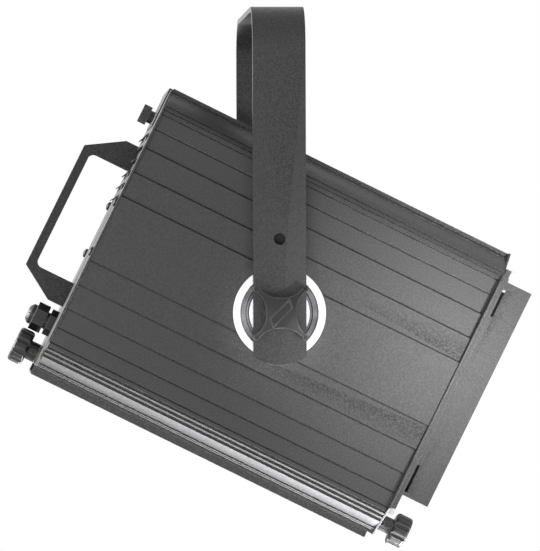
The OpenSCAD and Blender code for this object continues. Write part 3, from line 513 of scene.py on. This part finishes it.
# Shoulders: extrusions along u. Their section in (y, v) goes up the outside from the seam with the
# side panel to the top cover, then back along the inside. The lower pair is the same, upside down.
REAR_U, FRONT_U = -181.5, 174.5
BAND_Y, SEAM_V, TOP_Y, TOP_V = 124.4, 104.1, 92.0, 148.0
BAND_GROOVE = [(BAND_Y, 118.9), (BAND_Y - 1.8, 119.2), (BAND_Y - 1.8, 119.9), (BAND_Y, 120.2)]
FIN_TIPS = ((122.0, 126.1), (118.4, 130.3))
FINE_GROOVES = ((123.8, 124.0), (120.8, 128.1))
FACET = [(114.0, 134.8), (97.5, 141.6), (96.9, 141.8)]
LIPS = ((97.4, 143.1), (95.3, 144.5))
INSIDE = [(90, TOP_V), (90, 146.5), (80, 146.5), (80, 144), (90, 144), (90, 141.5), (106.5, 133.4),
          (119.4, 118.1), (119.4, 98.1), (BAND_Y - 2.5, 98.1), (BAND_Y - 2.5, SEAM_V)]
# Lighter charcoal for the upper shoulders' broken edges: a painted highlight, light their crests would
# catch
EDGE_HIGHLIGHT_PAINT = powder_coat("powder coat, painted edge highlight", shade(CHARCOAL, 2.4))


def shoulder_outline(hatched):
    """The lower pair is hatched by fins and lips, the upper pair has fine grooves and a plain rim."""
    out = [(BAND_Y - 0.9, SEAM_V), (BAND_Y, SEAM_V + 0.9)] + BAND_GROOVE
    if hatched:
        out.append((BAND_Y, 123.5))
        for y, v in FIN_TIPS:
            out += [(y - 2.2, v - 2.4), (y - 2.2, v - 0.3), (y, v), (y - 1.6, v + 1.7)]
        out += [(112.2, 132.3), (112.2, 134.5)]
    else:
        for y, v in FINE_GROOVES:
            out += [(y, v), (y - 1.3, v - 1.0), (y - 2.0, v - 0.1), (y - 0.7, v + 0.9)]
    out += FACET
    if hatched:
        out.append((96.9, 142.9))
        for y, v in LIPS:
            out += [(y, v), (y - 1.5, v + 0.8), (y - 2.4, v + 0.9), (y - 2.4, v + 1.2)]
        out[-1] = (TOP_Y, 145.4)
    else:
        out += [(96.9, 142.4), (TOP_Y, 144.6)]
    return out + [(TOP_Y, TOP_V)] + INSIDE


def shoulder(side, up):
    node = ("upper" if up > 0 else "lower") + "_shoulder_" + ("left" if side > 0 else "right")
    section = shoulder_outline(hatched=up < 0)
    ends = [[at(u, side * y, up * v) for y, v in section] for u in (REAR_U, FRONT_U)]
    mesh = mesh_of(node, lambda bm: add_prism(bm, *ends))
    mesh.shade_smooth()
    piece = new_piece(node + "_finished", mesh, SLOT_OF[node], BODY_OF[node], node)
    mesh.materials.append(EDGE_HIGHLIGHT_PAINT)
    # The upper pair's broken edges take the painted highlight
    width_mm, edge_material = (0.28, 1) if up > 0 else (0.15, 0)
    finished[node] = broken_edges(piece, width_mm, edge_material)


for side in (-1, 1):
    for up in (-1, 1):
        shoulder(side, up)


# The handle's charcoal paint is painted darker than the housing's, as painted shade
finished["rear_handle"].data.materials[0] = powder_coat("charcoal powder coat, painted shade", DARK_GREY)
# The front focus knob's black nylon is painted lighter, as painted light, and carries a painted highlight
# along its edges
finished["front_focus_knob"].data.materials[0] = moulded("black nylon, painted lighter", DARK_GREY,
                                                         edge_highlight=(0.30, 0.30, 0.30))
# The frame guides are painted black: painted shade where the holder's slots show them in shadow
NODES["frame_guides"].material_slots[0].material = MATERIALS["black_paint"]


# Side panels: (v, y) at the foot of each step, and (low v, high v, y) of each face between steps
PANEL_STEPS = ((33.0, 128.8), (58.2, 126.6), (83.4, 124.4))
PANEL_FACES = ((-35, 35, 131), (35, 59.2, 128.8), (59.2, 84.4, 126.6), (84.4, 106, 124.4),
               (-59.2, -35, 128.8), (-84.4, -59.2, 126.6), (-106, -84.4, 124.4))


def step_grooves(bm, side):
    """Fine grooves along the feet of the steps, 0.9 mm high and 0.8 mm deep."""
    for up in (-1, 1):
        for step_v, foot_y in PANEL_STEPS:
            v = sorted((up * (step_v + 1.0), up * (step_v + 1.9)))
            add_side_box(bm, side, (REAR_U - 2, FRONT_U + 2), (foot_y - 0.8, foot_y + 1.5), v)


def front_groove(bm, side):
    """A fine groove where the panel meets the front frame, 0.9 mm long and 1 mm deep."""
    for low_v, high_v, face_y in PANEL_FACES:
        add_side_box(bm, side, (FRONT_U - 0.9, FRONT_U + 1), (face_y - 1.0, face_y + 3),
                     (low_v - 0.01, high_v + 0.01))


for side, name in ((1, "side_panel_left"), (-1, "side_panel_right")):
    cut(finished[name], lambda bm: step_grooves(bm, side))
    cut(finished[name], lambda bm: front_groove(bm, side))


# Accessory holder: its corner slots run on through the flange behind them
FLANGE_U, CORNER_SLOT_Y = (181, 185.6), (98, 114)
CORNER_SLOT_V, CORNER_SLOT_H = (-98.5, 86.5), 28


def corner_slots(bm):
    for side in (-1, 1):
        for low_v in CORNER_SLOT_V:
            add_side_box(bm, side, FLANGE_U, CORNER_SLOT_Y, (low_v, low_v + CORNER_SLOT_H))


cut(finished["accessory_holder"], corner_slots)


# Screws: (node, edge width, u on top of the heads, (y, v) of each, outward, recess span and depth)
PORTS = [(y, v) for y in (-124.5, 124.5) for v in (-26.0, 26.0)]
HOLDER_HOLES = [(y, v) for y in (-106.5, 106.5) for v in (-45, 65)]
HANDLE_HOLES = [(0, 74), (0, -72)]
REARWARD, FORWARD = (-1, 0, 0), (1, 0, 0)
SCREWS = (
    ("rear_panel_screws", 0.25, -186.7, PORTS, REARWARD, 4.6, 2.0),
    ("front_frame_screws", 0.12, 176.5, PORTS, FORWARD, 4.2, 1.6),
    ("holder_screws", 0.22, 186.3, HOLDER_HOLES, FORWARD, 4.0, 1.6),
    ("handle_bolts", 0.3, -189.5, HANDLE_HOLES, REARWARD, 5.4, 2.2),
)
# Each head is turned by its own angle, as driving in leaves them
FIRST_TURN, NEXT_TURN = 0.4, 1.1


def cross_recess(bm, place, span, depth):
    half, arm, above, taper = span / 2, span / 9, 4, 0.55
    add_box(bm, place, (-half, -arm, -depth), (half, arm, above), taper)
    add_box(bm, place, (-arm, -half, -depth), (arm, half, above), taper)


for node_name, width_mm, head_u, places, outward, span, depth in SCREWS:
    def recesses(bm):
        for i, (y, v) in enumerate(places):
            turn = Matrix.Rotation(FIRST_TURN + NEXT_TURN * i, 4, "Z")
            cross_recess(bm, frame_on((head_u, y, v), outward) @ turn, span, depth)
    finished[node_name] = softened(node_name, width_mm)
    cut(finished[node_name], recesses)


# Tilt knob: the bare lozenge on its face is a shallow pocket inside a raised rim
LOZENGE = [(-13.6, -3.2), (10.5, -3.2), (13.6, 3.2), (-10.5, 3.2)]
LOZENGE_CORNER, LOZENGE_TURN = 1.6, math.radians(45)
POCKET_FLOOR_Y, PAST_KNOB_Y = -169.2, -175.0


def rounded(points, r, steps=5):
    """A polygon with its corners rounded off by r, going round anticlockwise."""
    out = []
    for i, corner in enumerate(points):
        corner = Vector(corner)
        before, after = Vector(points[i - 1]), Vector(points[(i + 1) % len(points)])
        a, b = (before - corner).normalized(), (after - corner).normalized()
        half = a.angle(b) / 2
        centre = corner + (a + b).normalized() * (r / math.sin(half))
        start = corner + a * (r / math.tan(half)) - centre
        end = corner + b * (r / math.tan(half)) - centre
        for k in range(steps + 1):
            out.append(centre + start.normalized().lerp(end.normalized(), k / steps).normalized() * r)
    return out


def pocket(bm):
    cos, sin = math.cos(LOZENGE_TURN), math.sin(LOZENGE_TURN)
    corners = rounded(LOZENGE, LOZENGE_CORNER)
    outline = [(p.x * cos - p.y * sin, p.x * sin + p.y * cos) for p in corners]
    add_prism(bm, *[[PIVOT + Vector((x / 1000, y / 1000, z / 1000)) for x, z in outline]
                    for y in (POCKET_FLOOR_Y, PAST_KNOB_Y)])


cut(finished["tilt_knob"], pocket)


# Cable gland: pressure slots in the nut's dome
REAR_FACE_U, DOME_REACH, GLAND_V = -183.5, 21.3, -103.5
GLAND_SLOTS, GLAND_SLOT = 8, ((7.2, -0.55, 0.6), (12, 0.55, 12))


def gland_slots(bm):
    dome = frame_on((REAR_FACE_U - DOME_REACH, 0, GLAND_V), REARWARD)
    for i in range(GLAND_SLOTS):
        turn = Matrix.Rotation(i * 2 * math.pi / GLAND_SLOTS, 4, "Z")
        add_box(bm, dome @ turn, *GLAND_SLOT)


cut(finished["gland_nut"], gland_slots)


# Focus knobs: a set screw sunk in each hub
HUB_Y, HUB_V = -6, -136
HOLE_RADIUS, GRUB_RADIUS = 2.1, 1.95
HOLE_FLOOR_Z, GRUB_TOP_Z, PAST_HUB_Z = 1.2, 1.9, 8
for node_name, hub_u in (("rear_focus_knob", -189.8), ("front_focus_knob", 187.5)):
    place = frame_on((hub_u, HUB_Y, HUB_V), (0, -1, 0), up=(1, 0, 0))
    cut(finished[node_name], lambda bm: add_tube(bm, place, HOLE_RADIUS, HOLE_FLOOR_Z, PAST_HUB_Z))
    grub = mesh_of("set screw", lambda bm: add_tube(bm, place, GRUB_RADIUS, HOLE_FLOOR_Z, GRUB_TOP_Z))
    new_piece(node_name + "_set_screw", grub, "black_screws", "focus_spindle")


# Lamp: coiled filament on its supports, inside the bulb
FILAMENT_U = -20
COILS, COIL_GAP, COIL_RADIUS, COIL_FOOT_V = 4, 3.4, 0.9, 3
# Each coil goes through this many points, and from one to the next turns and rises by so much
COIL_POINTS, COIL_TURN, COIL_RISE = 56, 0.9, 0.25
COIL_WIRE, SUPPORT_WIRE = 0.16, 0.4
SUPPORT_Y, SUPPORT_FOOT_V, SUPPORT_TOP_V = 7.5, -29, 18
BAR_V = (17.6, 2.4)


def add_wire(bm, points, radius):
    """Straight lengths of wire through points (u, y, v) in millimetres."""
    for a, b in zip(points, points[1:]):
        a, b = Vector(a), Vector(b)
        z = (b - a).normalized()
        x = z.orthogonal().normalized()
        local = Matrix((x, z.cross(x), z)).transposed().to_4x4()
        add_tube(bm, TO_ROW @ Matrix.Translation(a / 1000) @ local, radius, 0, (b - a).length, sides=8)


def filament(bm):
    for i in range(COILS):
        y = (i - (COILS - 1) / 2) * COIL_GAP
        add_wire(bm, [(FILAMENT_U + COIL_RADIUS * math.cos(k * COIL_TURN),
                       y + COIL_RADIUS * math.sin(k * COIL_TURN),
                       COIL_FOOT_V + COIL_RISE * k) for k in range(COIL_POINTS)], COIL_WIRE)
    for y in (-SUPPORT_Y, SUPPORT_Y):
        add_wire(bm, [(FILAMENT_U, y, SUPPORT_FOOT_V), (FILAMENT_U, y, SUPPORT_TOP_V)], SUPPORT_WIRE)
    for v in BAR_V:
        add_wire(bm, [(FILAMENT_U, -SUPPORT_Y, v), (FILAMENT_U, SUPPORT_Y, v)], SUPPORT_WIRE)


new_piece("lamp_filament", mesh_of("filament", filament), "spring_steel", "lamp_carriage")


# Stage and light. The camera, reflections and glass see a white room; it lights things more weakly.
SEEN_BY = ("Is Camera Ray", "Is Glossy Ray", "Is Transmission Ray")
FLOOR_Z, FLOOR_SIZE = -1.8, 40
FLOOR_PALE, FLOOR_GLOW = 0.86, 0.75
# The room's own light, as (height of the direction it comes from, strength)
ROOM_LOW, ROOM_HIGH = (-0.7, 0.20), (0.5, 0.05)


def seen(tree):
    """1 for rays that see the room, 0 for rays that light things."""
    path = tree.nodes.new("ShaderNodeLightPath")
    either = path.outputs[SEEN_BY[0]]
    for ray in SEEN_BY[1:]:
        larger = tree.nodes.new("ShaderNodeMath")
        larger.operation = "MAXIMUM"
        tree.links.new(either, larger.inputs[0])
        tree.links.new(path.outputs[ray], larger.inputs[1])
        either = larger.outputs[0]
    return either


def make_stage():
    bpy.ops.mesh.primitive_plane_add(size=FLOOR_SIZE, location=(0, 0, FLOOR_Z))
    floor = bpy.context.object
    floor.name = "floor"
    mat = bpy.data.materials.new("pale floor")
    mat.use_nodes = True
    tree = mat.node_tree
    tree.nodes.clear()
    diffuse = tree.nodes.new("ShaderNodeBsdfDiffuse")
    diffuse.inputs["Color"].default_value = (FLOOR_PALE, FLOOR_PALE, FLOOR_PALE, 1)
    scale = tree.nodes.new("ShaderNodeMath")
    scale.operation = "MULTIPLY"
    scale.inputs[1].default_value = FLOOR_GLOW
    tree.links.new(seen(tree), scale.inputs[0])
    glow = tree.nodes.new("ShaderNodeEmission")
    tree.links.new(scale.outputs[0], glow.inputs["Strength"])
    total = tree.nodes.new("ShaderNodeAddShader")
    tree.links.new(diffuse.outputs[0], total.inputs[0])
    tree.links.new(glow.outputs[0], total.inputs[1])
    out = tree.nodes.new("ShaderNodeOutputMaterial")
    tree.links.new(total.outputs[0], out.inputs["Surface"])
    floor.data.materials.append(mat)


def make_world():
    """White where it is seen. Its own light is faint, and comes from below more than from above."""
    world = bpy.data.worlds.new("studio")
    bpy.context.scene.world = world
    world.use_nodes = True
    world.cycles.sampling_method = "NONE"
    tree = world.node_tree
    tree.nodes.clear()
    direction = tree.nodes.new("ShaderNodeTexCoord")
    split = tree.nodes.new("ShaderNodeSeparateXYZ")
    tree.links.new(direction.outputs["Generated"], split.inputs[0])
    fade = tree.nodes.new("ShaderNodeMapRange")
    for end, (height, strength) in (("Min", ROOM_LOW), ("Max", ROOM_HIGH)):
        fade.inputs["From " + end].default_value = height
        fade.inputs["To " + end].default_value = strength
    tree.links.new(split.outputs["Z"], fade.inputs["Value"])
    light, shown = [tree.nodes.new("ShaderNodeBackground") for _ in range(2)]
    for background in (light, shown):
        background.inputs["Color"].default_value = (1, 1, 1, 1)
    tree.links.new(fade.outputs["Result"], light.inputs["Strength"])
    shown.inputs["Strength"].default_value = 1.0
    mix = tree.nodes.new("ShaderNodeMixShader")
    tree.links.new(seen(tree), mix.inputs[0])
    tree.links.new(light.outputs[0], mix.inputs[1])
    tree.links.new(shown.outputs[0], mix.inputs[2])
    out = tree.nodes.new("ShaderNodeOutputWorld")
    tree.links.new(mix.outputs[0], out.inputs["Surface"])


def aim(name, data, location, target):
    lamp = bpy.data.objects.new(name, data)
    lamp.location = location
    lamp.rotation_euler = (Vector(target) - Vector(location)).to_track_quat("-Z", "Y").to_euler()
    bpy.context.scene.collection.objects.link(lamp)


def area_light(name, location, target, size, power):
    data = bpy.data.lights.new(name, "AREA")
    data.shape = "RECTANGLE"
    data.size, data.size_y = size
    data.energy = power
    aim(name, data, location, target)


def spot_light(name, location, target, cone, radius, power):
    data = bpy.data.lights.new(name, "SPOT")
    data.spot_size = math.radians(cone)
    data.spot_blend = 1.0
    data.shadow_soft_size = radius
    data.energy = power
    aim(name, data, location, target)


make_stage()
make_world()
area_light("front, soft", (-0.8, -2.4, -0.75), (0, -0.1, -0.3), (1.6, 1.6), 11)
area_light("sweep, low behind", (0.35, 0.9, -1.30), (0.05, 0, -0.35), (1.8, 0.9), 34)
area_light("backdrop, rear left", (-1.6, 0.5, 0.25), (-0.15, 0, -0.15), (1.0, 1.0), 42)
area_light("table, straight below", (0.22, -0.07, -1.2), (0.22, -0.0699, -0.3), (0.30, 0.02), 25)
spot_light("key, right", (0.80, -1.9, -0.80), (0.176, -0.13, -0.325), 8.3, 0.12, 218)
bpy.context.scene.view_settings.view_transform = "Standard"
